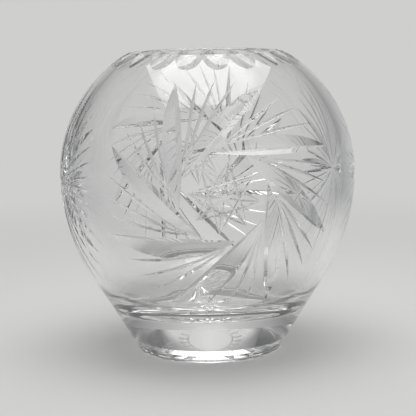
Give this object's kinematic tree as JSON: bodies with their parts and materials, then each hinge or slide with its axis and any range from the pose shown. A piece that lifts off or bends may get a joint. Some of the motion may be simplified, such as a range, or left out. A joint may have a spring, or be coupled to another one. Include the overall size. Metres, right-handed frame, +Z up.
{
  "type": "rose bowl vase",
  "caption": "Round cut-crystal rose bowl vase with whirling stars on a bulging body, a fluted lip and a short thick foot.",
  "frame": {"origin": "middle of the face that the vase stands on", "axes": "+Z up along the axis of the bowl; -Y is the pictured front, whose whirling star is turned a little towards +X"},
  "size_m": [0.197, 0.197, 0.2],
  "materials": {
    "crystal": "clear lead crystal, cut and polished"
  },
  "bodies": {
    "root": {"bowl": "crystal", "foot": "crystal"}
  },
  "joints": []
}
